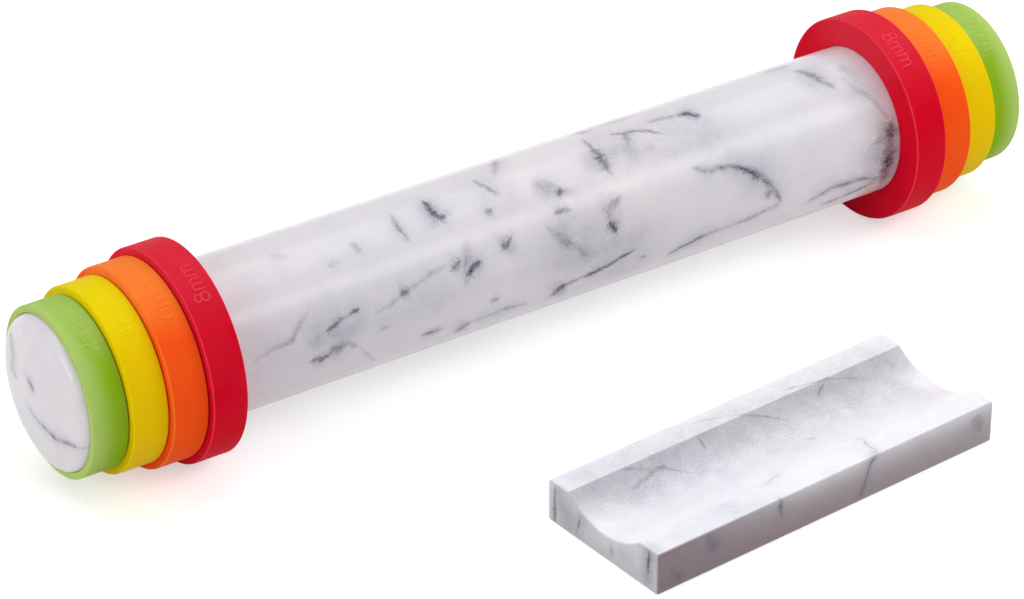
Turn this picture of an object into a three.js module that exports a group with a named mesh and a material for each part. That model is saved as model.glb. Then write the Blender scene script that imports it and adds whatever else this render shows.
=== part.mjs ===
// Adjustable rolling pin: a solid marble pin, four pairs of slip-on silicone thickness rings,
// and the marble cradle that the pin is stored in, standing beside it.
// Millimetres, +Z up, the pin along X, the set centred on the table top it stands on.
import * as THREE from 'three';

// Marble pin
const PIN_DIAMETER = 42;
const PIN_LENGTH = 302; // from crown to crown
const END_SHOWING = 3.7; // how far an end stands out of its outermost ring
const CROWN_RISE = 4.4; // from the end of the barrel to the top of the crown
const END_ROUND = 3; // rounding between the barrel and the crown

// Silicone rings: the thickness is how high a ring holds the barrel above the table
const GREEN_THICKNESS = 2;
const YELLOW_THICKNESS = 4;
const ORANGE_THICKNESS = 6;
const RED_THICKNESS = 8;
const RING_WIDTH = 10;
const RING_EDGE_ROUND = 1; // outer edges
const BORE_CHAMFER = 0.4; // lead-in at both ends of the bore
const BORE_CLEARANCE = 0.3; // between the bore and the barrel
const RING_SPACING = 0.3; // between neighbouring rings

// Marble cradle
const CRADLE_LENGTH = 112;
const CRADLE_WIDTH = 43;
const CRADLE_HEIGHT = 12;
const TROUGH_DEPTH = 5;
const TROUGH_CLEARANCE = 1; // the trough's radius is this much larger than the pin's

// How the set lies on the table
const CRADLE_AHEAD = 97.8; // from the pin's axis forward to the cradle's centre
const CRADLE_ASIDE = 6.7; // from the pin's middle to the cradle's centre, along the pin
const CRADLE_TURN = THREE.MathUtils.degToRad(4.4); // about the vertical

// Fineness of the round surfaces
const ROUND_SIDES = 48;
const ROUNDING_STEPS = 2;
const CROWN_STEPS = 5;
const TROUGH_STEPS = 18;

const pinRadius = PIN_DIAMETER / 2;
const redRadius = pinRadius + RED_THICKNESS;
const halfStep = Math.PI / ROUND_SIDES;

const marble = new THREE.MeshStandardMaterial({ color: 0xe4e3e8, roughness: 0.22, metalness: 0 });
const silicone = (color) => new THREE.MeshStandardMaterial({ color, roughness: 0.55, metalness: 0 });

// Points along an arc in the plane of a profile, from one angle to another
function arc(centreX, centreY, radius, fromAngle, toAngle, steps) {
  return Array.from({ length: steps + 1 }, (_, i) => {
    const angle = fromAngle + ((toAngle - fromAngle) * i) / steps;
    return new THREE.Vector2(centreX + radius * Math.cos(angle), centreY + radius * Math.sin(angle));
  });
}

// Turns a profile of (radius, distance along the axis), with a flat of the turning downwards
function turned(name, profile, material) {
  const mesh = new THREE.Mesh(new THREE.LatheGeometry(profile, ROUND_SIDES, halfStep), material);
  mesh.name = name;
  mesh.rotation.z = -Math.PI / 2;
  return mesh;
}

// The pin: a plain barrel, each end a shallow crown blended into the barrel by a rounding
function marblePin() {
  const round = Math.min(END_ROUND, 0.8 * CROWN_RISE);
  const barrelEnd = PIN_LENGTH / 2 - CROWN_RISE;
  const roundCentre = pinRadius - round;
  const crown = (CROWN_RISE ** 2 + roundCentre ** 2 - round ** 2) / (2 * (CROWN_RISE - round));
  const crownCentre = PIN_LENGTH / 2 - crown;
  const blend = Math.atan2(barrelEnd - crownCentre, roundCentre);
  const far = [
    ...arc(roundCentre, barrelEnd, round, 0, blend, ROUNDING_STEPS + 2),
    ...arc(0, crownCentre, crown, blend, Math.PI / 2, CROWN_STEPS).slice(1, -1),
    new THREE.Vector2(0, PIN_LENGTH / 2),
  ];
  const near = far.map((point) => new THREE.Vector2(point.x, -point.y)).reverse();
  return turned('marble_pin', [...near, ...far], marble);
}

// A ring centred on its own middle: round outer edges, a chamfered bore that fits the barrel
function siliconeRing(name, thickness, color) {
  const bore = pinRadius + BORE_CLEARANCE;
  const outer = pinRadius + thickness;
  const edge = Math.min(RING_EDGE_ROUND, 0.5 * (outer - bore));
  const chamfer = Math.min(BORE_CHAMFER, 0.2 * (outer - bore));
  const half = RING_WIDTH / 2;
  const profile = [
    new THREE.Vector2(bore, half - chamfer),
    new THREE.Vector2(bore, chamfer - half),
    new THREE.Vector2(bore + chamfer, -half),
    ...arc(outer - edge, edge - half, edge, -Math.PI / 2, 0, ROUNDING_STEPS),
    ...arc(outer - edge, half - edge, edge, 0, Math.PI / 2, ROUNDING_STEPS),
    new THREE.Vector2(bore + chamfer, half),
    new THREE.Vector2(bore, half - chamfer),
  ];
  return turned(name, profile, silicone(color));
}

// The cradle: a slab whose top is cut lengthwise by a shallow round trough
function marbleCradle() {
  const radius = pinRadius + TROUGH_CLEARANCE;
  const centreHeight = CRADLE_HEIGHT - TROUGH_DEPTH + radius;
  const halfAngle = Math.acos((radius - TROUGH_DEPTH) / radius);
  const down = -Math.PI / 2;
  const section = new THREE.Shape([
    new THREE.Vector2(-CRADLE_WIDTH / 2, 0),
    new THREE.Vector2(CRADLE_WIDTH / 2, 0),
    new THREE.Vector2(CRADLE_WIDTH / 2, CRADLE_HEIGHT),
    ...arc(0, centreHeight, radius, down + halfAngle, down - halfAngle, TROUGH_STEPS),
    new THREE.Vector2(-CRADLE_WIDTH / 2, CRADLE_HEIGHT),
  ]);
  const slab = new THREE.ExtrudeGeometry(section, { depth: CRADLE_LENGTH, bevelEnabled: false });
  slab.translate(0, 0, -CRADLE_LENGTH / 2).rotateX(Math.PI / 2).rotateZ(Math.PI / 2);
  const mesh = new THREE.Mesh(slab, marble);
  mesh.name = 'cradle';
  return mesh;
}

// The rings of one end, from the outermost inwards
const ringsOfAnEnd = [
  ['green_ring', GREEN_THICKNESS, 0x84bf3c],
  ['yellow_ring', YELLOW_THICKNESS, 0xf2dc00],
  ['orange_ring', ORANGE_THICKNESS, 0xff7a1c],
  ['red_ring', RED_THICKNESS, 0xd3122e],
];

// The pin lies on the flats of its red rings
const pinWithRings = new THREE.Group();
pinWithRings.position.z = redRadius * Math.cos(halfStep);
pinWithRings.add(marblePin());
for (const [end, direction] of [['left', -1], ['right', 1]]) {
  let face = PIN_LENGTH / 2 - END_SHOWING;
  for (const [name, thickness, color] of ringsOfAnEnd) {
    const ring = siliconeRing(`${end}_${name}`, thickness, color);
    ring.position.x = direction * (face - RING_WIDTH / 2);
    pinWithRings.add(ring);
    face -= RING_WIDTH + RING_SPACING;
  }
}

// The cradle stands in front of the pin, turned a little, and the pair share the origin between them
const cradle = marbleCradle();
cradle.rotation.z = CRADLE_TURN;
const turnedDepth = CRADLE_LENGTH * Math.abs(Math.sin(CRADLE_TURN)) + CRADLE_WIDTH * Math.cos(CRADLE_TURN);
const pinBack = (CRADLE_AHEAD + turnedDepth / 2 - redRadius * Math.cos(halfStep)) / 2;
pinWithRings.position.y = pinBack;
cradle.position.set(CRADLE_ASIDE, pinBack - CRADLE_AHEAD, 0);

const rollingPinSet = new THREE.Group();
rollingPinSet.add(pinWithRings, cradle);

export default rollingPinSet;
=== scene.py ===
"""Adjustable rolling pin: a polished marble pin with four pairs of silicone thickness rings, and the
marble cradle it is kept in. Metres, +Z up, the pin along X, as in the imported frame."""

import math

import bmesh
import bpy
import numpy as np
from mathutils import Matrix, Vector


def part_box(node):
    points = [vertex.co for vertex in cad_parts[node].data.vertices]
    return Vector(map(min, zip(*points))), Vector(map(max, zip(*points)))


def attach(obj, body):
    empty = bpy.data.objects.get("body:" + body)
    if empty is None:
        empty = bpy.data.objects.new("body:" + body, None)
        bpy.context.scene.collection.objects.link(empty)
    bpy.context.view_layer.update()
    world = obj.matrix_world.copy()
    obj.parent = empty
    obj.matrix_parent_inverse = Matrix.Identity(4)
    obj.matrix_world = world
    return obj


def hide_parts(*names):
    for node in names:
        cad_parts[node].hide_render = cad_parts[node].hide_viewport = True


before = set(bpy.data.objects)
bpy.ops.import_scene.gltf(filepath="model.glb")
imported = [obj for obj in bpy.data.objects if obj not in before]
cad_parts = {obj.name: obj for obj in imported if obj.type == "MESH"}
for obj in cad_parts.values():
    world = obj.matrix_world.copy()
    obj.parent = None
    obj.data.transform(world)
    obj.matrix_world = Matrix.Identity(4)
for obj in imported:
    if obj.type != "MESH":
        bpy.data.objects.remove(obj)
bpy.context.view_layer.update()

# A millimetre in metres, and a distance too small to count
MM = 0.001
SAME_PLACE = 1e-9

# The photograph's view
IMAGE_WIDTH = 1024
IMAGE_HEIGHT = 599
SENSOR_WIDTH = 36.0
LENS = 153.95
AIM = Vector((-17.75, 32.25, 20.0)) * MM
AIM_DISTANCE = 1152.5 * MM
VIEW_AZIMUTH = math.radians(33.82)
VIEW_ELEVATION = math.radians(31.39)
VIEW_REACH = 20.0

# Marble pin
CROWN_RISE = 4.4 * MM
END_ROUND = 3.0 * MM
PIN_COLUMNS = 192
BARREL_ROWS = 430
CROWN_ROWS = 22
ROUNDING_ROWS = 7

# Silicone rings: a rounding is also held to a share of the ring's thickness
BORE_GAP = 0.05 * MM
BORE_ROUND = 0.3 * MM
BORE_SHARE = 0.25
EDGE_ROUND = 0.45 * MM
EDGE_SHARE = 0.5
FACE_ROWS = 5
FILLET_ROWS = 7
SHOULDER_ROWS = 6
COARSE_COLUMNS = 168

# Painted light on the rings: paler towards the free edge from what share of its half width, paler on the top
# from what cosine of the turn away from the top, and a painted highlight along its two outer edges, how
# strong and with what share of the rounding in full
FREE_EDGE_LIGHT_FROM = -0.5
TOP_LIGHT_FROM = 0.6
EDGE_HIGHLIGHT = 0.6
EDGE_HIGHLIGHT_CORE = 0.3

# Raised thickness marks on the rings
MARK_TURN = math.radians(25)
CAP_HEIGHT = 4.2 * MM
SMALL_HEIGHT = 3.0 * MM
DIGIT_WIDTH = 2.5 * MM
M_WIDTH = 3.5 * MM
LETTER_GAP = 1.0 * MM
STROKE_CORE = 0.1 * MM
STROKE_FOOT = 0.42 * MM
MARK_GRID = 0.13 * MM
BOWL_STEPS = 14
ROUND_STEPS = 24

# Marble cradle
CRADLE_TURN = math.radians(4.4)
TROUGH_DEPTH = 5.0 * MM
TROUGH_CLEARANCE = 1.0 * MM
SLAB_ARRIS = 0.8 * MM
LIP_ROUND = 0.7 * MM
END_ARRIS = 0.5 * MM
# Painted shade on the long sides: its share of the shade colour, how much it fades along the side, how much a
# painted glow takes off towards the top, and from how far along that glow is full
SIDE_SHADE_SHARE = 0.96
SIDE_SHADE_FADE = 0.3
PAINTED_SIDE_GLOW = 0.75
PAINTED_GLOW_FULL_AT = 0.5
CRADLE_ROWS = 240
RUN_POINTS = 84
SIDE_POINTS = 20
FLAT_STEPS = 14
LIP_STEPS = 6
CORNER_STEPS = 5
END_STEPS = 4
WELD_DISTANCE = 0.001 * MM

# Wavering of the veins: sines from the longest wave down, each shorter than the last by the ratio
WAVE_COUNT = 7
LONGEST_WAVE = 17.0 * MM
WAVE_RATIO = 0.72
WAVE_HEIGHT = 0.02

# Studio: brightness 1 is what shows as white. Each lamp has its place, what it is aimed at, its two sizes,
# its brightness, and whether it is set for the pin, for the cradle or for all
WORLD_LIGHT = 0.28
FLOOR_HALF = 3.0
FLOOR_GREY = 0.82
FLOOR_ROUGHNESS = 0.9
FLOOR_LIFT = 0.5
FLOOR_NEAR = 0.6
FLOOR_FAR = 1.6
LAMPS = (
    ("overhead_softbox", (0.0, 0.35, 1.0), (0.0, 0.0, 0.0), (1.7, 0.8), 1.3, "all"),
    ("front_softbox", (0.45, -0.60, 0.80), (0.1, 0.0, 0.03), (1.9, 0.3), 2.35, "pin"),
    ("left_softbox", (-3.2, -0.29, 1.31), (0.0, 0.0, 0.03), (2.2, 1.75), 3.35, "pin"),
    ("right_softbox", (0.95, -0.45, 0.55), (0.15, 0.05, 0.03), (0.6, 0.5), 3.4, "pin"),
    ("back_softbox", (0.25, 0.58, 0.90), (0.0, -0.05, 0.0), (1.6, 0.6), 2.65, "cradle"),
    ("fill_softbox", (0.7, -1.0, 0.45), (0.0, -0.05, 0.0), (1.0, 0.5), 0.45, "cradle"),
)


def arc(centre, radius, start, end, steps):
    """Points centre + radius (cos a, sin a), the angle a going evenly from start to end."""
    a = np.linspace(start, end, steps + 1)
    return np.stack([centre[0] + radius * np.cos(a), centre[1] + radius * np.sin(a)], -1)


def run(a, b, steps):
    """Points evenly along the straight line from a to b."""
    t = np.linspace(0, 1, steps + 1)[:, None]
    return np.asarray(a) * (1 - t) + np.asarray(b) * t


def joined(*parts):
    """The parts one after another, without the point that each shares with the one before it."""
    return np.concatenate([parts[0]] + [part[1:] for part in parts[1:]])


def smoothstep(low, high, value):
    """0 below low, 1 above high, and t t (3 - 2 t) between them."""
    t = np.clip((value - low) / (high - low), 0, 1)
    return t * t * (3 - 2 * t)


def grid_faces(rows, columns, wrap_rows=False, wrap_columns=False):
    """Quads between neighbouring rows and columns of a grid of points, closing round where it wraps."""
    i = np.arange(rows if wrap_rows else rows - 1)[:, None]
    j = np.arange(columns if wrap_columns else columns - 1)[None, :]
    i2 = (i + 1) % rows
    j2 = (j + 1) % columns
    quads = np.stack([i * columns + j, i2 * columns + j, i2 * columns + j2, i * columns + j2], -1)
    return quads.reshape(-1, 4)


def make_piece(name, points, faces):
    """A smooth-shaded mesh object at the origin, from an array of points and lists of faces."""
    mesh = bpy.data.meshes.new(name)
    mesh.from_pydata(points.tolist(), [], [face for block in faces for face in block.tolist()])
    mesh.shade_smooth()
    mesh.validate()
    piece = bpy.data.objects.new(name, mesh)
    bpy.context.scene.collection.objects.link(piece)
    return piece


def paint(piece, attribute, values):
    """Writes one number per point of the mesh, for a material to read."""
    layer = piece.data.attributes.new(attribute, "FLOAT", "POINT")
    layer.data.foreach_set("value", np.asarray(values, np.float32))


def points_of(piece, what="co"):
    """The mesh's points as an array, or their normals."""
    flat = np.empty(len(piece.data.vertices) * 3)
    piece.data.vertices.foreach_get(what, flat)
    return flat.reshape(-1, 3)


def weld(piece):
    """Joins the points of a mesh that lie in the same place."""
    work = bmesh.new()
    work.from_mesh(piece.data)
    bmesh.ops.remove_doubles(work, verts=work.verts, dist=WELD_DISTANCE)
    bmesh.ops.recalc_face_normals(work, faces=work.faces)
    work.to_mesh(piece.data)
    work.free()


def box_of(node):
    """A node's lowest and highest corner in the frame, as arrays."""
    low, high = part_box(node)
    return np.array(low), np.array(high)


# Sight lines of the photograph
view_forward = Vector((
    math.sin(VIEW_AZIMUTH) * math.cos(VIEW_ELEVATION),
    math.cos(VIEW_AZIMUTH) * math.cos(VIEW_ELEVATION),
    -math.sin(VIEW_ELEVATION),
))
view_right = Vector((math.cos(VIEW_AZIMUTH), -math.sin(VIEW_AZIMUTH), 0))
view_up = view_right.cross(view_forward)
eye = AIM - view_forward * AIM_DISTANCE


def make_camera():
    """The camera stands back from the aimed-at point along the view's azimuth and elevation."""
    data = bpy.data.cameras.new("camera")
    data.sensor_width = SENSOR_WIDTH
    data.lens = LENS
    data.clip_end = VIEW_REACH
    camera = bpy.data.objects.new("camera", data)
    camera.location = eye
    camera.rotation_euler = view_forward.to_track_quat("-Z", "Y").to_euler()
    bpy.context.scene.collection.objects.link(camera)
    bpy.context.scene.camera = camera


def seen_at(piece, pixel):
    """The point of the piece that the photograph shows at a pixel, or None where the sight line misses."""
    focal = LENS / SENSOR_WIDTH * IMAGE_WIDTH
    across = (pixel[0] - IMAGE_WIDTH / 2) / focal
    upward = (IMAGE_HEIGHT / 2 - pixel[1]) / focal
    direction = (view_forward + view_right * across + view_up * upward).normalized()
    hit, place, _, _ = piece.ray_cast(eye, direction)
    return np.array(place) if hit else None


# Marble pin
pin_low, pin_high = box_of("marble_pin")
pin_axis = (pin_low + pin_high) / 2
pin_radius = (pin_high[2] - pin_low[2]) / 2
pin_half = (pin_high[0] - pin_low[0]) / 2


def turned(profile, angles):
    """Each profile point (along, radius) carried round the pin's axis: y = -r sin a, z = r cos a, so that
    the angle starts at the top and grows towards the front. radius may also be a grid over the angles."""
    along, radius = profile
    along = np.broadcast_to(along[:, None], (len(along), len(angles)))
    radius = np.broadcast_to(radius if radius.ndim == 2 else radius[:, None], along.shape)
    y = pin_axis[1] - radius * np.sin(angles)
    z = pin_axis[2] + radius * np.cos(angles)
    return np.stack([along, y, z], -1).reshape(-1, 3)


def pin_profile():
    """Half the pin's outline as (radius, along) from beside the crown's tip to the middle of the barrel: the
    crown is an arc about a centre on the axis, and a rounding is tangent to it and to the barrel."""
    barrel_end = pin_half - CROWN_RISE
    round_centre = pin_radius - END_ROUND
    crown = (CROWN_RISE**2 + round_centre**2 - END_ROUND**2) / (2 * (CROWN_RISE - END_ROUND))
    crown_centre = pin_half - crown
    meeting = math.atan2(barrel_end - crown_centre, round_centre)
    return joined(
        arc((0, crown_centre), crown, math.pi / 2, meeting, CROWN_ROWS)[1:],
        arc((round_centre, barrel_end), END_ROUND, meeting, 0, ROUNDING_ROWS),
        run((pin_radius, barrel_end), (pin_radius, 0), BARREL_ROWS // 2),
    )


def make_pin():
    """The barrel and its two crowned ends as one turned surface, closed by a point on each crown."""
    right = pin_profile()
    left = right[::-1][1:] * (1, -1)
    outline = np.concatenate([right, left])
    angles = np.arange(PIN_COLUMNS) * (2 * math.pi / PIN_COLUMNS)
    wall = turned((outline[:, 1], outline[:, 0]), angles)
    tips = np.array([[pin_half, pin_axis[1], pin_axis[2]], [-pin_half, pin_axis[1], pin_axis[2]]])
    rows = len(outline)
    body = grid_faces(rows, PIN_COLUMNS, wrap_columns=True)
    first = np.arange(PIN_COLUMNS)
    after = (first + 1) % PIN_COLUMNS
    last = (rows - 1) * PIN_COLUMNS
    right_tip = np.stack([np.full(PIN_COLUMNS, rows * PIN_COLUMNS), first, after], -1)
    left_tip = np.stack([np.full(PIN_COLUMNS, rows * PIN_COLUMNS + 1), last + after, last + first], -1)
    piece = make_piece("polished_pin", np.concatenate([wall, tips]), [body, right_tip, left_tip])
    # The pin carries no painted shade
    paint(piece, "painted_side_shade", np.zeros(len(piece.data.vertices)))
    return piece


# Raised marks: each sign is a list of strokes, and a stroke is a line of points from its own lower left
def bowl(centre, radii, start, end, steps=BOWL_STEPS):
    """Part of an ellipse: centre + (rx cos a, ry sin a), in shares of the sign's width and height."""
    a = np.radians(np.linspace(start, end, steps + 1))
    return np.stack([centre[0] + radii[0] * np.cos(a), centre[1] + radii[1] * np.sin(a)], -1)


def line(*points):
    """A stroke of straight stretches, in shares of the sign's width and height."""
    return np.array(points, float)


SIGNS = {
    "8": [
        bowl((0.5, 0.27), (0.5, 0.27), 0, 360, ROUND_STEPS),
        bowl((0.5, 0.77), (0.42, 0.23), 0, 360, ROUND_STEPS),
    ],
    "6": [
        bowl((0.5, 0.31), (0.5, 0.31), 0, 360, ROUND_STEPS),
        bowl((0.95, 0.31), (0.95, 0.69), 180, 100),
    ],
    "4": [line((0.74, 0), (0.74, 1), (0, 0.3), (1, 0.3))],
    "2": [bowl((0.5, 0.7), (0.46, 0.3), 165, -35), line((0.877, 0.528), (0, 0), (1, 0))],
    "m": [
        line((0, 0), (0, 1)),
        bowl((0.25, 0.6), (0.25, 0.4), 180, 0),
        line((0.5, 0.6), (0.5, 0)),
        bowl((0.75, 0.6), (0.25, 0.4), 180, 0),
        line((1, 0.6), (1, 0)),
    ],
}


def mark_strokes(text):
    """The stretches of a mark as pairs of end points, centred on the middle of its length and cap height."""
    starts, ends = [], []
    pen = 0.0
    for sign in text:
        size = np.array((M_WIDTH, SMALL_HEIGHT) if sign == "m" else (DIGIT_WIDTH, CAP_HEIGHT))
        for stroke in SIGNS[sign]:
            places = stroke * size + (pen, 0)
            starts.append(places[:-1])
            ends.append(places[1:])
        pen += size[0] + LETTER_GAP
    middle = np.array(((pen - LETTER_GAP) / 2, CAP_HEIGHT / 2))
    return np.concatenate(starts) - middle, np.concatenate(ends) - middle


def distance_to(points, starts, ends):
    """Distance from each point to the nearest of the stretches: the foot of the perpendicular, held between
    the stretch's ends."""
    nearest = np.full(points.shape[:-1], np.inf)
    for start, end in zip(starts, ends):
        along = end - start
        share = ((points - start) @ along) / max(along @ along, SAME_PLACE**2)
        foot = start + np.clip(share, 0, 1)[..., None] * along
        nearest = np.minimum(nearest, np.linalg.norm(points - foot, axis=-1))
    return nearest


def fine_between(low, high, coarse_low, coarse_high, step, shoulder):
    """Places from coarse_low to coarse_high that lie a step apart between low and high."""
    fine = np.linspace(low, high, int(math.ceil((high - low) / step)) + 1)
    before = np.linspace(coarse_low, low, shoulder + 1)[:-1]
    after = np.linspace(high, coarse_high, shoulder + 1)[1:]
    return np.concatenate([before, fine, after])


def make_ring(end, direction, colour, text, mark_rise, free_edge_light, top_light_share, mark_highlight):
    """A ring turned from its section, whose outer wall rises by the mark: radius = wall + rise f(d), where d
    is the distance to the mark's strokes and f falls smoothly from 1 on the stroke to 0 at its foot. How pale
    the silicone looks is painted light put on it: the largest of its shares towards the free edge, on the
    top, as a painted highlight on the mark and as a painted highlight along the two outer edges."""
    node = f"{end}_{colour}_ring"
    low, high = box_of(node)
    middle = (low[0] + high[0]) / 2
    half = (high[0] - low[0]) / 2
    wall = (high[2] - low[2]) / 2
    bore = pin_radius + BORE_GAP
    edge = min(EDGE_ROUND, EDGE_SHARE * (wall - bore))
    lip = min(BORE_ROUND, BORE_SHARE * (wall - bore))
    starts, ends = mark_strokes(text)
    reach = np.abs(np.concatenate([starts, ends])).max(0) + STROKE_FOOT
    top = half - edge
    across = fine_between(-reach[1], reach[1], -top, top, MARK_GRID, SHOULDER_ROWS)[::-1]
    outer = np.stack([across, np.full(len(across), wall)], -1)
    section = joined(
        run((0, bore), (half - lip, bore), FACE_ROWS),
        arc((half - lip, bore + lip), lip, -math.pi / 2, 0, FILLET_ROWS // 2),
        run((half, bore + lip), (half, wall - edge), FACE_ROWS),
        arc((top, wall - edge), edge, 0, math.pi / 2, FILLET_ROWS),
        outer,
        arc((-top, wall - edge), edge, math.pi / 2, math.pi, FILLET_ROWS),
        run((-half, wall - edge), (-half, bore + lip), FACE_ROWS),
        arc((lip - half, bore + lip), lip, math.pi, 1.5 * math.pi, FILLET_ROWS // 2),
        run((lip - half, bore), (0, bore), FACE_ROWS),
    )[:-1]
    fine = int(math.ceil(2 * reach[0] / MARK_GRID))
    mark_half = reach[0] / wall
    near_mark = np.linspace(-mark_half, mark_half, fine + 1)
    elsewhere = np.linspace(mark_half, 2 * math.pi - mark_half, COARSE_COLUMNS + 1)[1:-1]
    angles = np.concatenate([near_mark, elsewhere])
    turn = (angles + math.pi) % (2 * math.pi) - math.pi
    reading, upright = np.meshgrid(direction * turn * wall, direction * section[:, 0])
    gap = distance_to(np.stack([reading, upright], -1), starts, ends)
    on_wall = (section[:, 1] >= wall - SAME_PLACE)[:, None]
    raised = (1 - smoothstep(STROKE_CORE, STROKE_FOOT, gap)) * on_wall
    radius = section[:, 1][:, None] + mark_rise * raised
    points = turned((middle + section[:, 0], radius), angles + MARK_TURN)
    faces = grid_faces(len(section), len(angles), wrap_rows=True, wrap_columns=True)
    piece = make_piece(f"{end}_{colour}_silicone", points, [faces])
    outward = (direction * section[:, 0] / half)[:, None]
    corner = np.hypot(np.abs(section[:, 0]) - half, section[:, 1] - wall)[:, None]
    # Painted light towards the free edge, and a painted highlight on the raised mark
    free = np.maximum(free_edge_light * smoothstep(FREE_EDGE_LIGHT_FROM, 1, outward), mark_highlight * raised)
    # A painted highlight along the two outer edges
    edges = EDGE_HIGHLIGHT * (1 - smoothstep(EDGE_HIGHLIGHT_CORE * edge, edge, corner))
    # Painted light on the top of the ring
    top_light = top_light_share * smoothstep(TOP_LIGHT_FROM, 1, np.cos(angles + MARK_TURN))
    paint(piece, "pale", np.maximum(free, np.maximum(edges, top_light)).ravel())
    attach(piece, node)
    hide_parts(node)
    return piece


# Marble cradle
def cradle_section(width, height):
    """The slab's cross-section as (across, up), anticlockwise from its lower left, with its outward normals:
    straight runs, quarter rounds at the corners, and a trough whose lips are rounded by arcs tangent to the
    flat top and to the trough."""
    side = width / 2
    corner = SLAB_ARRIS
    trough = pin_radius + TROUGH_CLEARANCE
    centre_up = height - TROUGH_DEPTH + trough
    drop = centre_up - (height - LIP_ROUND)
    lip_out = math.sqrt((trough + LIP_ROUND) ** 2 - drop**2)
    lean = math.atan2(lip_out, drop)
    straight_steps = SIDE_POINTS - 2 * CORNER_STEPS
    trough_steps = RUN_POINTS - 2 * LIP_STEPS - 2 * FLAT_STEPS
    up = math.pi / 2
    top = joined(
        run((side - corner, height), (lip_out, height), FLAT_STEPS),
        arc((lip_out, height - LIP_ROUND), LIP_ROUND, up, up + lean, LIP_STEPS),
        arc((0, centre_up), trough, lean - up, -lean - up, trough_steps),
        arc((-lip_out, height - LIP_ROUND), LIP_ROUND, up - lean, up, LIP_STEPS),
        run((-lip_out, height), (corner - side, height), FLAT_STEPS),
    )
    right = joined(
        arc((side - corner, corner), corner, -up, 0, CORNER_STEPS),
        run((side, corner), (side, height - corner), straight_steps),
        arc((side - corner, height - corner), corner, 0, up, CORNER_STEPS),
    )
    left = right[::-1] * (-1, 1)
    bottom = run((corner - side, 0), (side - corner, 0), RUN_POINTS)
    outline = np.concatenate([bottom[:-1], right[:-1], top[:-1], left[:-1]])
    tangent = np.roll(outline, -1, 0) - np.roll(outline, 1, 0)
    normal = np.stack([tangent[:, 1], -tangent[:, 0]], -1)
    return outline, normal / np.linalg.norm(normal, axis=1, keepdims=True)


def filled(loop):
    """A closed loop's inside as a grid, by blending the four sides between its corners: along the bottom and
    top, plus up the two sides, minus the blend of the corners. The blend goes by the share of the height."""
    second = RUN_POINTS
    third = second + SIDE_POINTS
    fourth = third + RUN_POINTS
    ring = np.concatenate([loop, loop[:1]])
    bottom = ring[: second + 1]
    right = ring[second : third + 1]
    top = ring[third : fourth + 1][::-1]
    left = ring[fourth:][::-1]
    u = np.linspace(0, 1, RUN_POINTS + 1)[None, :, None]
    v = ((left[:, 1] - left[0, 1]) / (left[-1, 1] - left[0, 1]))[:, None, None]
    sides = (1 - v) * bottom[None] + v * top[None] + (1 - u) * left[:, None] + u * right[:, None]
    corners = (1 - v) * ((1 - u) * bottom[0] + u * bottom[-1]) + v * ((1 - u) * top[0] + u * top[-1])
    return sides - corners


def make_cradle():
    """The section carried along the slab, drawn in by an arris at each end, and both ends filled in. Length
    and width follow from the sides of the turned slab's box. The two long sides get a warmer, darker painted
    shade, which fades along the side, and a painted glow lightens it towards the top by the cube of the
    height."""
    low, high = box_of("cradle")
    centre = (low + high) / 2
    size = high - low
    cosine = math.cos(CRADLE_TURN)
    sine = math.sin(CRADLE_TURN)
    length = (size[0] * cosine - size[1] * sine) / (cosine**2 - sine**2)
    width = (size[1] * cosine - size[0] * sine) / (cosine**2 - sine**2)
    outline, normal = cradle_section(width, size[2])
    bevel = arc((length / 2 - END_ARRIS, END_ARRIS), END_ARRIS, 0, -math.pi / 2, END_STEPS)
    stations = joined(
        bevel * (-1, 1),
        run((END_ARRIS - length / 2, 0), (length / 2 - END_ARRIS, 0), CRADLE_ROWS),
        bevel[::-1],
    )
    loops = outline[None] - stations[:, 1][:, None, None] * normal[None]
    places = np.broadcast_to(stations[:, 0][:, None, None], loops.shape[:2] + (1,))
    walls = np.concatenate([places, loops], -1).reshape(-1, 3)
    faces = [grid_faces(len(stations), len(outline), wrap_columns=True)]
    points = [walls]
    used = len(walls)
    for row, flip in ((0, True), (len(stations) - 1, False)):
        inside = filled(loops[row])
        place = np.full(inside.shape[:2] + (1,), stations[row, 0])
        patch = np.concatenate([place, inside], -1).reshape(-1, 3)
        quads = grid_faces(inside.shape[0], inside.shape[1])
        faces.append((quads[:, ::-1] if flip else quads) + used)
        points.append(patch)
        used += len(patch)
    turn = np.array(((cosine, sine, 0), (-sine, cosine, 0), (0, 0, 1)))
    foot = np.array((centre[0], centre[1], low[2]))
    piece = make_piece("honed_cradle", np.concatenate(points) @ turn + foot, faces)
    weld(piece)
    along, across, upward = ((points_of(piece) - foot) @ turn.T / (length, width, size[2])).T
    # Painted shade on the two long sides, less along each side, with a painted glow towards the top
    on_side = smoothstep(0.5 - SLAB_ARRIS / width, 0.5, np.abs(across))
    onward = 0.5 - np.sign(across) * along
    painted_glow = PAINTED_SIDE_GLOW * smoothstep(0, PAINTED_GLOW_FULL_AT, onward) * upward**3
    paint(piece, "painted_side_shade", on_side * (SIDE_SHADE_SHARE - SIDE_SHADE_FADE * onward - painted_glow))
    return piece
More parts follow.
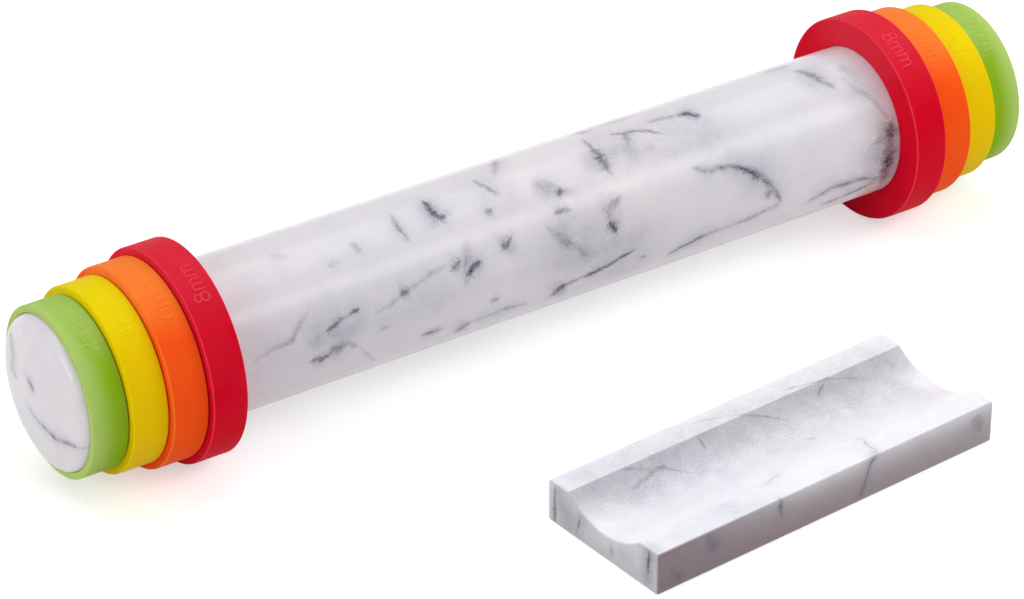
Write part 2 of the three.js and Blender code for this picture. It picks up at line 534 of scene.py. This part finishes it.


# Veins of the marble, read from the photograph: how dark a vein is, its half width in millimetres,
# and the pixels that it runs through
PIN_VEINS = (
    (1.00, 0.95, (423, 201), (433, 211), (444, 221)),
    (0.90, 1.15, (436, 213), (445, 220)),
    (0.35, 0.80, (391, 215), (399, 230), (408, 241)),
    (0.60, 0.70, (395, 225), (402, 234)),
    (0.25, 0.90, (350, 243), (362, 252)),
    (0.15, 1.20, (268, 258), (288, 257)),
    (0.15, 0.80, (328, 266), (338, 260)),
    (0.85, 0.75, (327, 331), (334, 326), (343, 318)),
    (0.40, 0.60, (339, 321), (352, 313)),
    (0.75, 0.60, (349, 315), (358, 309)),
    (0.75, 0.90, (310, 362), (320, 359), (331, 353)),
    (0.50, 1.60, (326, 355), (337, 349), (348, 342)),
    (0.40, 0.85, (345, 343), (358, 344)),
    (0.20, 0.60, (360, 345), (368, 354), (373, 361)),
    (0.26, 0.80, (252, 361), (274, 349), (292, 340), (298, 328), (308, 311)),
    (0.30, 0.80, (289, 342), (297, 334)),
    (0.24, 0.75, (375, 314), (388, 307), (406, 292), (420, 283), (432, 274), (446, 266)),
    (0.90, 0.85, (402, 295), (410, 290)),
    (0.28, 0.80, (380, 329), (390, 326)),
    (0.70, 0.75, (451, 270), (461, 262)),
    (0.30, 1.20, (468, 240), (468, 262), (466, 286)),
    (0.90, 0.75, (467, 277), (473, 268), (481, 262)),
    (0.95, 0.80, (503, 250), (507, 245), (511, 237)),
    (0.60, 0.75, (422, 334), (440, 330)),
    (0.70, 0.95, (454, 332), (470, 322)),
    (0.35, 0.70, (470, 322), (500, 311), (527, 303)),
    (0.45, 0.70, (492, 301), (499, 298)),
    (0.40, 0.85, (472, 181), (486, 188), (499, 196)),
    (0.35, 1.00, (496, 159), (495, 175)),
    (0.45, 0.90, (486, 215), (492, 210)),
    (0.35, 1.60, (536, 184), (547, 185), (559, 190)),
    (0.95, 0.95, (560, 187), (562, 196)),
    (0.55, 0.85, (555, 215), (563, 209), (571, 209)),
    (0.38, 1.20, (545, 226), (553, 234), (563, 240), (577, 247), (584, 255)),
    (0.90, 1.30, (551, 295), (558, 290), (566, 285)),
    (0.45, 0.60, (562, 287), (587, 276)),
    (0.85, 0.75, (583, 278), (597, 271), (608, 266), (620, 257), (633, 250)),
    (0.45, 0.70, (638, 259), (646, 256)),
    (0.40, 1.00, (575, 134), (584, 132), (592, 129)),
    (0.55, 0.70, (583, 139), (591, 148), (599, 159), (609, 172)),
    (1.00, 1.50, (592, 149), (600, 160), (608, 170)),
    (0.30, 1.30, (588, 129), (612, 122), (634, 116)),
    (0.60, 0.70, (610, 134), (624, 133), (634, 131), (646, 131), (661, 134)),
    (0.45, 1.20, (625, 133), (629, 143)),
    (0.32, 0.90, (648, 123), (664, 118), (682, 115)),
    (0.90, 0.90, (676, 116), (688, 114), (702, 117)),
    (0.35, 0.90, (692, 167), (710, 170), (724, 167)),
    (0.75, 0.80, (719, 168), (733, 167), (747, 171), (760, 177), (768, 183), (775, 191), (782, 202)),
    (0.75, 1.20, (747, 171), (757, 175), (768, 182)),
    (0.55, 1.00, (770, 187), (769, 199)),
    (0.35, 0.70, (783, 203), (750, 218), (713, 231)),
    (0.60, 0.80, (718, 229), (692, 242), (668, 254)),
    (0.95, 1.60, (892, 122), (888, 138)),
    (0.60, 1.30, (889, 137), (875, 142)),
    (0.75, 1.90, (887, 137), (889, 153), (887, 167), (883, 181)),
    (0.50, 1.30, (796, 71), (812, 74), (834, 87)),
    (0.30, 1.00, (763, 73), (787, 66)),
    (0.20, 1.60, (838, 64), (850, 74), (860, 84)),
    (0.28, 0.90, (840, 76), (850, 84), (867, 94), (880, 107), (889, 119)),
    (0.55, 0.85, (808, 202), (832, 188), (862, 179), (880, 179)),
    (0.60, 0.75, (822, 204), (848, 194), (876, 181)),
    (0.50, 1.10, (619, 198), (608, 209), (610, 222)),
    (0.90, 1.10, (610, 220), (613, 227), (616, 232)),
    (0.34, 0.90, (11, 332), (13, 355), (12, 368), (18, 380)),
    (0.80, 0.60, (27, 378), (34, 390)),
    (0.50, 0.65, (29, 408), (39, 422), (54, 438), (75, 446), (87, 447)),
    (0.80, 0.60, (50, 434), (58, 441)),
)
CRADLE_VEINS = (
    (0.75, 0.36, (876, 450), (868, 473), (860, 496)),
    (0.30, 0.35, (857, 438), (875, 449)),
    (0.60, 0.65, (780, 498), (782, 517)),
    (0.32, 0.45, (766, 485), (779, 474)),
    (0.70, 0.50, (555, 488), (555, 521)),
    (0.55, 0.42, (581, 517), (576, 534)),
    (0.45, 0.36, (612, 546), (613, 556)),
    (0.75, 0.60, (649, 552), (648, 577)),
    (0.35, 1.60, (708, 537), (716, 551)),
    (0.35, 1.40, (671, 569), (680, 580)),
    (0.25, 2.00, (974, 417), (980, 432)),
    (0.40, 0.60, (634, 489), (647, 478), (660, 469)),
    (0.30, 0.45, (620, 470), (660, 469), (697, 474)),
    (0.40, 0.80, (655, 471), (665, 467)),
    (0.55, 0.40, (699, 438), (708, 448)),
    (0.20, 0.50, (692, 423), (733, 415)),
    (0.34, 0.45, (733, 416), (751, 416), (788, 420)),
    (0.38, 0.60, (822, 383), (818, 397)),
    (0.26, 0.45, (780, 391), (821, 380), (860, 379)),
    (0.26, 0.45, (804, 440), (817, 438)),
)

# Soft grey clouds in the stone, and some bands of painted shade: strength, radius in millimetres, and the
# pixel of the middle, or the pixels that a band runs through
PIN_CLOUDS_AND_SHADE = (
    (0.40, 5, (335, 326)),
    (0.40, 4, (318, 340)),
    (0.35, 4, (345, 336)),
    (0.42, 4, (613, 150)),
    (0.45, 5, (630, 147)),
    (0.35, 4, (648, 144)),
    (0.40, 4, (600, 150)),
    (0.35, 4, (545, 187)),
    (0.35, 4, (470, 266)),
    (0.40, 6, (563, 240)),
    (0.40, 6, (585, 256)),
    (0.35, 6, (606, 262)),
    (0.30, 4, (612, 212)),
    (0.30, 5, (755, 178)),
    (0.45, 6, (880, 155)),
    (0.25, 6, (862, 100)),
    (0.30, 5, (815, 80)),
    (0.30, 5, (850, 190)),
    (0.22, 8, (490, 190)),
    (0.22, 8, (620, 235)),
    (0.24, 9, (615, 142), (660, 136), (700, 128)),
    (0.30, 11, (575, 245), (625, 255)),
    (0.25, 5, (732, 161), (765, 172)),
    (0.28, 7, (322, 330), (352, 326)),
    (0.30, 4, (893, 150), (892, 172)),
    # Painted shade along the lower left of the barrel
    (0.12, 12, (258, 372), (330, 346), (430, 308)),
)
CRADLE_CLOUDS_AND_SHADE = (
    # The first two bands are painted shade on the far side of the trough
    (0.28, 12, (600, 486), (690, 452), (815, 401), (880, 372)),
    (0.38, 7, (630, 499), (733, 455), (840, 409), (895, 387)),
    (0.15, 5, (567, 473), (768, 391)),
    (0.12, 5, (680, 536), (755, 503)),
    (0.30, 6, (640, 482), (668, 466)),
    (0.30, 5, (733, 420), (775, 422)),
    (0.20, 6, (730, 508)),
    (0.40, 4, (561, 499), (569, 519)),
    (0.25, 3, (580, 517), (577, 534)),
    (0.10, 4, (630, 560), (638, 571)),
    (0.45, 3, (650, 556), (648, 577)),
    (0.30, 5, (713, 546)),
    (0.30, 5, (676, 572)),
)

# How a vein is drawn: the longest step between its places in pixels, how it swells from its ends and what
# share of its width and darkness is left there, how far its darkness reaches in half widths, the strength and
# the reach of its two hazes, the least width that these fade by, and how far off its middle line still counts
VEIN_STEP = 14
SWELL_POWER = 0.4
END_WIDTH = 0.5
END_DARKNESS = 0.4
VEIN_REACH = 2.4
HAZES = ((0.38, 2.6), (0.22, 6.0))
THINNEST_FADE = 0.45 * MM
FARTHEST_OFFSET = 6.0

# How far a surface turns away from the photograph's eye, as a cosine, while the mirrored figure takes over
TURNED_AWAY = -0.2
STILL_SHOWN = -0.08


def wander(points):
    """Small sideways steps that make a drawn vein waver: a sum of sines whose directions go round the sphere
    by the golden angle. Each wave is WAVE_RATIO as long as the one before it, and its height is WAVE_HEIGHT
    of its length."""
    wave = np.arange(WAVE_COUNT)
    turn = math.pi * (3 - math.sqrt(5)) * wave
    height = 1 - (2 * wave + 1) / WAVE_COUNT
    reach = np.sqrt(1 - height**2)
    direction = np.stack([reach * np.cos(turn), reach * np.sin(turn), height], -1)
    length = (LONGEST_WAVE * WAVE_RATIO**wave)[:, None]
    phase = points @ (direction * 2 * math.pi / length).T + turn * wave
    return np.sin(phase) @ (WAVE_HEIGHT * length * np.roll(direction, 1, axis=1))


def traced(piece, pixels):
    """A vein's pixels as a line of places on the piece's surface, at most VEIN_STEP pixels apart."""
    places = []
    for a, b in zip(pixels, pixels[1:]):
        steps = max(1, math.ceil(math.dist(a, b) / VEIN_STEP))
        share = np.linspace(0, 1, steps + 1)[:, None]
        line_pixels = np.array(a) * (1 - share) + np.array(b) * share
        places += [seen_at(piece, pixel) for pixel in (line_pixels[1:] if places else line_pixels)]
    return np.array([place for place in places if place is not None])


def beside(points, normals, path):
    """Each point's distance to a line of places, plus on its left and minus on its right as the surface is
    looked at, and the share of the line at which it is nearest."""
    gap = np.full(len(points), np.inf)
    side = np.ones(len(points))
    share = np.zeros(len(points))
    for i, (start, end) in enumerate(zip(path, path[1:])):
        step = end - start
        part = np.clip(((points - start) @ step) / (step @ step), 0, 1)
        away = points - start - part[:, None] * step
        reach = np.linalg.norm(away, axis=1)
        nearer = reach < gap
        side = np.where(nearer, np.sign(np.sum(np.cross(step, away) * normals, axis=1)), side)
        share = np.where(nearer, (i + part) / (len(path) - 1), share)
        gap = np.minimum(gap, reach)
    return gap * side, share


def figure_marble(piece, veins, clouds):
    """Paints the stone's figure. A vein swells as (4 s (1 - s))^p between its ends, s being the share of its
    length and p SWELL_POWER, and its darkness and half width w follow that swelling. Three numbers are
    painted: vein, the darkness of the strongest vein near by, which falls as exp(-(d / f r)^2), d being the
    distance to its middle line, r VEIN_REACH, and f either w or THINNEST_FADE where that is more; offset, the
    distance d / w, signed by the side; and smoke, the grey haze together with painted shade, which is the sum
    of h exp(-(d / f r)^2) over the HAZES (h, r) round a vein, and exp(-(d / r)^2) in a cloud or band of
    radius r, some bands being painted shade. The unseen side has the same figure, mirrored through the
    piece's middle, which takes over where the surface turns away."""
    points = points_of(piece)
    normals = points_of(piece, "normal")
    middle = (points.min(0) + points.max(0)) / 2
    bent = points + wander(points)
    vein = np.zeros(len(points))
    offset = np.full(len(points), FARTHEST_OFFSET)
    smoke_and_shade = np.zeros(len(points))
    seen = smoothstep(TURNED_AWAY, STILL_SHOWN, normals @ -np.array(view_forward))
    for surface, facing, shown in ((bent, normals, seen), (2 * middle - bent, -normals, 1 - seen)):
        for dark, width, *pixels in veins:
            gap, share = beside(surface, facing, traced(piece, pixels))
            swell = (4 * share * (1 - share)) ** SWELL_POWER
            half = width * MM * (END_WIDTH + (1 - END_WIDTH) * swell)
            fade = gap / np.maximum(half, THINNEST_FADE)
            strength = shown * dark * (END_DARKNESS + (1 - END_DARKNESS) * swell)
            near = strength * np.exp(-((fade / VEIN_REACH) ** 2))
            offset = np.where(near > vein, np.clip(gap / half, -FARTHEST_OFFSET, FARTHEST_OFFSET), offset)
            vein = np.maximum(vein, near)
            haze = sum(weight * np.exp(-((fade / reach) ** 2)) for weight, reach in HAZES)
            smoke_and_shade = np.maximum(smoke_and_shade, strength * haze)
        # Clouds, and bands that are painted shade
        for strength, radius, *pixels in clouds:
            path = traced(piece, [pixels[0], *pixels])
            reach = distance_to(surface, path[:-1], path[1:]) / (radius * MM)
            smoke_and_shade = np.maximum(smoke_and_shade, shown * strength * np.exp(-(reach**2)))
    paint(piece, "vein", vein)
    paint(piece, "offset", offset)
    paint(piece, "smoke_and_shade", smoke_and_shade)


# Materials: where noise mostly lies, and the waves to the metre of the noises in stone and silicone
NOISE_SPAN = (0.3, 0.7)
BROAD_WAVES = 16
MOTTLE_WAVES = 110
PATCHY_WAVES = 230
RAGGED_WAVES = 700
GRAIN_WAVES = 1700
SLOW_WAVES = 70
FINE_WAVES = 1500
SPECK_WAVES = 2600

# Places of a mixing node's sockets for colours
MIX_SHARE = 0
MIX_FIRST = 6
MIX_SECOND = 7
MIX_RESULT = 2

# Stone: how much its mottling and grain show, how patches and grain vary its haze and its veins, how far a
# vein's edge strays and its core reaches in half widths, how its polish varies, and how light enters it
MOTTLE_SHARE = 0.22
GRAIN_SHARE = 0.1
HAZE_SPREAD = (0.8, 1.2)
VEIN_PATCHES = (0.65, 1.3)
VEIN_GRAIN = (0.75, 1.2)
VEIN_STRAY = 0.45
CORE_REACH = 1.8
POLISH_SPREAD = 0.05
POLISHED_ROUGHNESS = 0.215
HONED_ROUGHNESS = 0.3
STONE_GLOW = 0.4
STONE_GLOW_TINT = (1.0, 0.85, 0.8)
STONE_GLOW_DEPTH = 4.0 * MM

# Silicone: how much its mottling and specks show, its grain, its gloss, and how light enters it
SLOW_SHARE = 0.06
SPECK_SHARE = 0.5
SATIN_ROUGHNESS = (0.5, 0.6)
SATIN_GRAIN = 0.08
SATIN_DEPTH = 0.1 * MM
SATIN_GLOSS = 0.035
SILICONE_GLOW = 0.15
SILICONE_GLOW_DEPTH = 1.5 * MM


def srgb(red, green, blue):
    """A colour written as 0 to 255 in sRGB, as the linear values that a shader takes."""
    shares = np.array((red, green, blue)) / 255
    linear = np.where(shares <= 0.04045, shares / 12.92, ((shares + 0.055) / 1.055) ** 2.4)
    return (*linear.tolist(), 1.0)


WHITE = (1, 1, 1, 1)
POLISHED_COOL = srgb(223, 219, 226)
POLISHED_WARM = srgb(231, 224, 228)
HONED_COOL = srgb(240, 241, 248)
HONED_WARM = srgb(245, 243, 247)
MOTTLE_TONE = srgb(196, 197, 210)
GRAIN_TONE = srgb(190, 190, 202)
SIDE_SHADE_COLOUR = srgb(148, 122, 127)
HAZE_AND_SHADE_TONE = srgb(110, 116, 142)
VEIN_TONE = srgb(50, 52, 64)

# Rings: the mark and its rise, the silicone's colour and its pale tone, which the mottling, the dust specks
# and the painted light use, and the shares of painted light at the free edge, on the top and as a painted
# highlight on the mark
RINGS = (
    ("red", "8mm", 0.28 * MM, srgb(214, 0, 34), srgb(240, 84, 104), 0.0, 0.2, 0.6),
    ("orange", "6mm", 0.20 * MM, srgb(255, 84, 18), srgb(255, 150, 62), 0.0, 0.6, 0.5),
    ("yellow", "4mm", 0.14 * MM, srgb(238, 200, 0), srgb(240, 226, 16), 0.0, 0.5, 0.5),
    ("green", "2mm", 0.18 * MM, srgb(138, 180, 10), srgb(188, 214, 126), 0.75, 0.5, 0.5),
)


def add(tree, kind, inputs=None, **settings):
    """A new node with its settings. Each input is linked where a socket is given, and set otherwise."""
    node = tree.nodes.new(kind)
    for name, value in settings.items():
        setattr(node, name, value)
    for name, value in (inputs or {}).items():
        if isinstance(value, bpy.types.NodeSocket):
            tree.links.new(value, node.inputs[name])
        else:
            node.inputs[name].default_value = value
    return node


def maths(tree, operation, first, second=0.0, clamp=False):
    """One arithmetic step on two values."""
    node = add(tree, "ShaderNodeMath", {0: first, 1: second}, operation=operation, use_clamp=clamp)
    return node.outputs[0]


def noise(tree, place, scale, detail, distortion=0.0):
    """Fractal noise about 0.5, with scale waves to the metre and so many finer layers of detail."""
    values = {"Vector": place, "Scale": scale, "Detail": detail, "Distortion": distortion}
    return add(tree, "ShaderNodeTexNoise", values).outputs["Fac"]


def ramp(tree, value, low, high, start=0.0, end=1.0):
    """The value carried smoothly from low..high to start..end."""
    values = {"Value": value, "From Min": low, "From Max": high, "To Min": start, "To Max": end}
    return add(tree, "ShaderNodeMapRange", values, interpolation_type="SMOOTHSTEP").outputs["Result"]


def blend(tree, share, first, second):
    """Two colours mixed by a share from 0 to 1. A mixing node keeps its colours apart from its numbers."""
    inputs = {MIX_SHARE: share, MIX_FIRST: first, MIX_SECOND: second}
    return add(tree, "ShaderNodeMix", inputs, data_type="RGBA").outputs[MIX_RESULT]


def new_group(name, inputs, outputs):
    """An empty shader group with named sockets, and its input and output nodes."""
    group = bpy.data.node_groups.new(name, "ShaderNodeTree")
    for socket, kind in inputs.items():
        group.interface.new_socket(socket, in_out="INPUT", socket_type=kind)
    for socket, kind in outputs.items():
        group.interface.new_socket(socket, in_out="OUTPUT", socket_type=kind)
    return group, group.nodes.new("NodeGroupInput"), group.nodes.new("NodeGroupOutput")


def marble_figure_group():
    """Pale stone: cool and warm clouds, faint mottling, grey haze that also carries painted shade, grainy
    dark veins, and a warmer, darker painted shade on the slab's long sides."""
    tree, given, out = new_group(
        "marble_figure",
        {"Place": "NodeSocketVector", "Cool": "NodeSocketColor", "Warm": "NodeSocketColor",
         "Vein": "NodeSocketFloat", "Offset": "NodeSocketFloat", "Smoke_And_Shade": "NodeSocketFloat",
         "Painted_Side_Shade": "NodeSocketFloat"},
        {"Colour": "NodeSocketColor", "Roughness": "NodeSocketFloat"},
    )
    place = given.outputs["Place"]
    broad = noise(tree, place, BROAD_WAVES, detail=3)
    mottle = noise(tree, place, MOTTLE_WAVES, detail=5, distortion=0.5)
    ragged = noise(tree, place, RAGGED_WAVES, detail=4)
    patchy = noise(tree, place, PATCHY_WAVES, detail=4)
    grain = noise(tree, place, GRAIN_WAVES, detail=2)
    white = blend(tree, ramp(tree, broad, 0.35, 0.65), given.outputs["Cool"], given.outputs["Warm"])
    white = blend(tree, ramp(tree, mottle, 0.45, 0.75, 0, MOTTLE_SHARE), white, MOTTLE_TONE)
    white = blend(tree, ramp(tree, grain, 0.35, 0.7, 0, GRAIN_SHARE), white, GRAIN_TONE)
    # Painted shade on the slab's long sides
    white = blend(tree, given.outputs["Painted_Side_Shade"], white, SIDE_SHADE_COLOUR)
    # Grey haze round the veins and in the clouds, and the painted shade of the bands
    haze = maths(tree, "MULTIPLY", given.outputs["Smoke_And_Shade"], ramp(tree, patchy, *NOISE_SPAN, *HAZE_SPREAD))
    haze = maths(tree, "MULTIPLY", haze, ramp(tree, grain, *NOISE_SPAN, *HAZE_SPREAD), clamp=True)
    hazed = blend(tree, haze, white, HAZE_AND_SHADE_TONE)
    stray = ramp(tree, ragged, 0.25, 0.75, -VEIN_STRAY, VEIN_STRAY)
    strayed = maths(tree, "ABSOLUTE", maths(tree, "ADD", given.outputs["Offset"], stray))
    core = ramp(tree, strayed, 0, CORE_REACH, 1, 0)
    dark = maths(tree, "MULTIPLY", given.outputs["Vein"], ramp(tree, patchy, 0.32, 0.68, *VEIN_PATCHES))
    dark = maths(tree, "MULTIPLY", dark, ramp(tree, grain, *NOISE_SPAN, *VEIN_GRAIN))
    dark = maths(tree, "MULTIPLY", dark, core, clamp=True)
    tree.links.new(blend(tree, dark, hazed, VEIN_TONE), out.inputs["Colour"])
    tree.links.new(ramp(tree, mottle, *NOISE_SPAN, 0, POLISH_SPREAD), out.inputs["Roughness"])
    return tree


def painted(tree, attribute):
    """A number that was painted on the mesh."""
    return add(tree, "ShaderNodeAttribute", attribute_name=attribute).outputs["Fac"]


def object_place(tree):
    """Where a point of the piece is, in the frame's own metres."""
    return add(tree, "ShaderNodeTexCoord").outputs["Object"]


def use_group(tree, group, inputs):
    """The group placed in a material, with its own values."""
    return add(tree, "ShaderNodeGroup", inputs, node_tree=group).outputs


def new_material(name):
    """A material with one Principled shader."""
    material = bpy.data.materials.new(name)
    material.use_nodes = True
    return material, material.node_tree, material.node_tree.nodes["Principled BSDF"]


def marble_material(name, figure, cool, warm, roughness):
    """Polished or honed stone that light enters a little, its figure taken from what was painted on it."""
    material, tree, shader = new_material(name)
    made = use_group(tree, figure, {
        "Place": object_place(tree),
        "Cool": cool,
        "Warm": warm,
        "Vein": painted(tree, "vein"),
        "Offset": painted(tree, "offset"),
        "Smoke_And_Shade": painted(tree, "smoke_and_shade"),
        "Painted_Side_Shade": painted(tree, "painted_side_shade"),
    })
    tree.links.new(made["Colour"], shader.inputs["Base Color"])
    tree.links.new(maths(tree, "ADD", made["Roughness"], roughness), shader.inputs["Roughness"])
    shader.inputs["Subsurface Weight"].default_value = STONE_GLOW
    shader.inputs["Subsurface Radius"].default_value = STONE_GLOW_TINT
    shader.inputs["Subsurface Scale"].default_value = STONE_GLOW_DEPTH
    return material


def silicone_skin_group():
    """Moulded silicone: slow and fine mottling of the colour, painted light where the ring was painted paler,
    pale dust specks, and a fine satin grain.
    """
    tree, given, out = new_group(
        "silicone_skin",
        {"Place": "NodeSocketVector", "Base": "NodeSocketColor", "Pale": "NodeSocketColor",
         "Painted_Light": "NodeSocketFloat"},
        {"Colour": "NodeSocketColor", "Roughness": "NodeSocketFloat", "Height": "NodeSocketFloat"},
    )
    place = given.outputs["Place"]
    pale = given.outputs["Pale"]
    slow = noise(tree, place, SLOW_WAVES, detail=3)
    fine = noise(tree, place, FINE_WAVES, detail=3)
    speck = noise(tree, place, SPECK_WAVES, detail=1)
    colour = blend(tree, ramp(tree, slow, 0.35, 0.7, 0, SLOW_SHARE), given.outputs["Base"], pale)
    # Painted light and highlights: paler by the share painted on the ring
    colour = blend(tree, given.outputs["Painted_Light"], colour, pale)
    colour = blend(tree, ramp(tree, speck, 0.74, 0.8, 0, SPECK_SHARE), colour, pale)
    tree.links.new(colour, out.inputs["Colour"])
    tree.links.new(ramp(tree, slow, *NOISE_SPAN, *SATIN_ROUGHNESS), out.inputs["Roughness"])
    tree.links.new(fine, out.inputs["Height"])
    return tree


def silicone_material(name, skin, base, pale):
    """Satin silicone of one colour, paler where painted light and painted highlights were put on the mesh."""
    material, tree, shader = new_material(name)
    # How much painted light and highlight each point of the ring carries
    share = painted(tree, "pale")
    made = use_group(tree, skin, {"Place": object_place(tree), "Base": base, "Pale": pale, "Painted_Light": share})
    tree.links.new(made["Colour"], shader.inputs["Base Color"])
    tree.links.new(made["Roughness"], shader.inputs["Roughness"])
    grain = {"Height": made["Height"], "Strength": SATIN_GRAIN, "Distance": SATIN_DEPTH}
    tree.links.new(add(tree, "ShaderNodeBump", grain).outputs["Normal"], shader.inputs["Normal"])
    shader.inputs["Specular IOR Level"].default_value = SATIN_GLOSS
    shader.inputs["Subsurface Weight"].default_value = SILICONE_GLOW
    shader.inputs["Subsurface Scale"].default_value = SILICONE_GLOW_DEPTH
    return material


# Floor and light
def seen_directly(tree):
    """1 where the camera, a reflection or clear glass looks, and 0 for light that falls on a surface."""
    rays = add(tree, "ShaderNodeLightPath").outputs
    seen = maths(tree, "MAXIMUM", rays["Is Camera Ray"], rays["Is Glossy Ray"])
    return maths(tree, "MAXIMUM", seen, rays["Is Transmission Ray"])


def make_floor():
    """A wide flat floor, lifted to white where it is looked at, with the object's soft shadow on it. Far from
    the lamps, beyond FLOOR_NEAR, the lift grows, and is full at FLOOR_FAR."""
    corners = FLOOR_HALF * np.array([[-1, -1, 0], [1, -1, 0], [1, 1, 0], [-1, 1, 0]])
    floor = make_piece("floor", corners, [np.array([[0, 1, 2, 3]])])
    material, tree, shader = new_material("pale_floor")
    shader.inputs["Base Color"].default_value = (FLOOR_GREY, FLOOR_GREY, FLOOR_GREY, 1)
    shader.inputs["Roughness"].default_value = FLOOR_ROUGHNESS
    shader.inputs["Specular IOR Level"].default_value = 0
    shader.inputs["Emission Color"].default_value = WHITE
    apart = add(tree, "ShaderNodeVectorMath", {0: object_place(tree)}, operation="LENGTH").outputs["Value"]
    lift = ramp(tree, apart, FLOOR_NEAR, FLOOR_FAR, FLOOR_LIFT, 1)
    lift = maths(tree, "MULTIPLY", seen_directly(tree), lift)
    tree.links.new(lift, shader.inputs["Emission Strength"])
    floor.data.materials.append(material)
    return floor


def make_world():
    """White where it is looked at, and a soft even light elsewhere."""
    world = bpy.data.worlds.new("studio")
    world.use_nodes = True
    tree = world.node_tree
    strength = maths(tree, "MULTIPLY", seen_directly(tree), 1 - WORLD_LIGHT)
    strength = maths(tree, "ADD", strength, WORLD_LIGHT)
    tree.links.new(strength, tree.nodes["Background"].inputs["Strength"])
    tree.nodes["Background"].inputs["Color"].default_value = WHITE
    bpy.context.scene.world = world


def make_lamp(name, place, aim, size, brightness, lit):
    """A soft rectangular lamp of a given brightness, whose power is pi times brightness times area. It lights
    the pieces of a collection, or everything."""
    light = bpy.data.lights.new(name, "AREA")
    light.shape = "RECTANGLE"
    light.size, light.size_y = size
    light.energy = math.pi * brightness * size[0] * size[1]
    lamp = bpy.data.objects.new(name, light)
    lamp.location = place
    lamp.rotation_euler = (Vector(aim) - Vector(place)).to_track_quat("-Z", "Y").to_euler()
    bpy.context.scene.collection.objects.link(lamp)
    lamp.light_linking.receiver_collection = lit


def lit_together(name, pieces):
    """A collection of the pieces that a lamp is set for."""
    group = bpy.data.collections.new(name)
    for piece in pieces:
        group.objects.link(piece)
    return group


# The whole set
make_camera()
floor = make_floor()
make_world()
bpy.context.scene.view_settings.view_transform = "Standard"

pin = make_pin()
cradle = make_cradle()
bpy.context.view_layer.update()
figure = marble_figure_group()
polished = marble_material("polished_marble", figure, POLISHED_COOL, POLISHED_WARM, POLISHED_ROUGHNESS)
honed = marble_material("honed_marble", figure, HONED_COOL, HONED_WARM, HONED_ROUGHNESS)
stones = (
    (pin, "marble_pin", "pin", PIN_VEINS, PIN_CLOUDS_AND_SHADE, polished),
    (cradle, "cradle", "cradle", CRADLE_VEINS, CRADLE_CLOUDS_AND_SHADE, honed),
)
for piece, node, body, veins, clouds, material in stones:
    figure_marble(piece, veins, clouds)
    piece.data.materials.append(material)
    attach(piece, body)
    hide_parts(node)

skin = silicone_skin_group()
rings = []
for colour, text, mark_rise, base, pale, *shares in RINGS:
    material = silicone_material(f"{colour}_silicone", skin, base, pale)
    for end, direction in (("left", -1), ("right", 1)):
        rings.append(make_ring(end, direction, colour, text, mark_rise, *shares))
        rings[-1].data.materials.append(material)

lit_pieces = {
    "all": None,
    "pin": lit_together("lit_with_the_pin", [pin, floor, *rings]),
    "cradle": lit_together("lit_with_the_cradle", [cradle]),
}
for *lamp, lit in LAMPS:
    make_lamp(*lamp, lit_pieces[lit])
